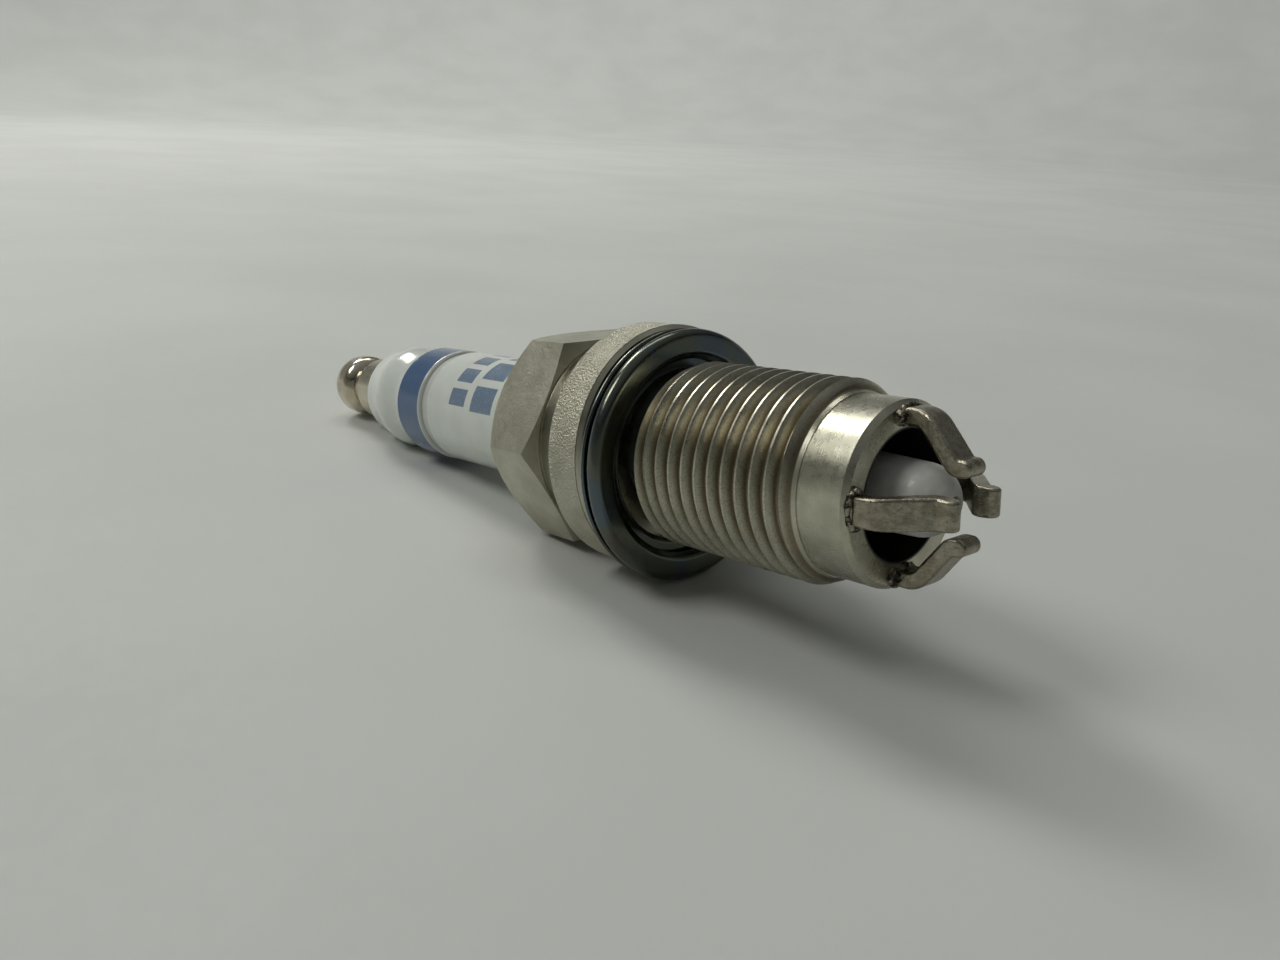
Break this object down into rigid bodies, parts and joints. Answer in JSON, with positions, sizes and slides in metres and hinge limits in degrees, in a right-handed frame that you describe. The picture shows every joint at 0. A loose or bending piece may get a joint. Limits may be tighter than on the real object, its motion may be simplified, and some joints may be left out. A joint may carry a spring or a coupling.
{
  "type": "spark plug",
  "caption": "Resistor spark plug with screw-on terminal nut, glazed insulator, hex shell, loose sealing gasket, M14 thread and ground electrodes bent in around the insulator nose.",
  "frame": {"origin": "on the plug's axis, in the plane of the loose gasket's front face, where the plug seats on the cylinder head", "axes": "+X along the plug's axis towards the firing end, -Z square to a flat of the hex, +Y to complete the frame"},
  "size_m": [0.0791, 0.0192, 0.0194],
  "materials": {
    "nickel_plated_steel": "satin nickel plating",
    "glazed_ceramic": "glossy white glaze, matt at the nose",
    "zinc_plated_steel": "dark zinc plating with a faint blue and yellow sheen",
    "terminal_metal": "polished nickel",
    "stud_steel": "plain steel",
    "glass_seal": "dark copper-filled glass",
    "resistor_mix": "dark carbon and glass mix",
    "nickel_alloy": "dull nickel alloy",
    "copper": "plain copper",
    "powder": "packed talc powder"
  },
  "bodies": {
    "plug": {"shell": "nickel_plated_steel", "insulator": "glazed_ceramic", "terminal_stud": "stud_steel", "rear_glass_seal": "glass_seal", "front_glass_seal": "glass_seal", "resistor": "resistor_mix", "centre_electrode": "nickel_alloy", "copper_core": "copper", "inner_seal_washer": "stud_steel", "front_packing_ring": "stud_steel", "rear_packing_ring": "stud_steel", "sealing_powder": "powder", "ground_electrode_top": "nickel_alloy", "ground_electrode_rear": "nickel_alloy", "ground_electrode_bottom": "nickel_alloy", "ground_electrode_front": "nickel_alloy"},
    "terminal_nut": {"terminal_nut": "terminal_metal"},
    "gasket": {"outer_gasket": "zinc_plated_steel"}
  },
  "joints": [
    {"name": "terminal_nut_unscrew", "type": "slide", "parent": "plug", "child": "terminal_nut", "axis": [-1, 0, 0], "range_m": [0, 0.0084]},
    {"name": "gasket_play", "type": "slide", "parent": "plug", "child": "gasket", "axis": [1, 0, 0], "range_m": [-0.0004, 0.001]}
  ]
}
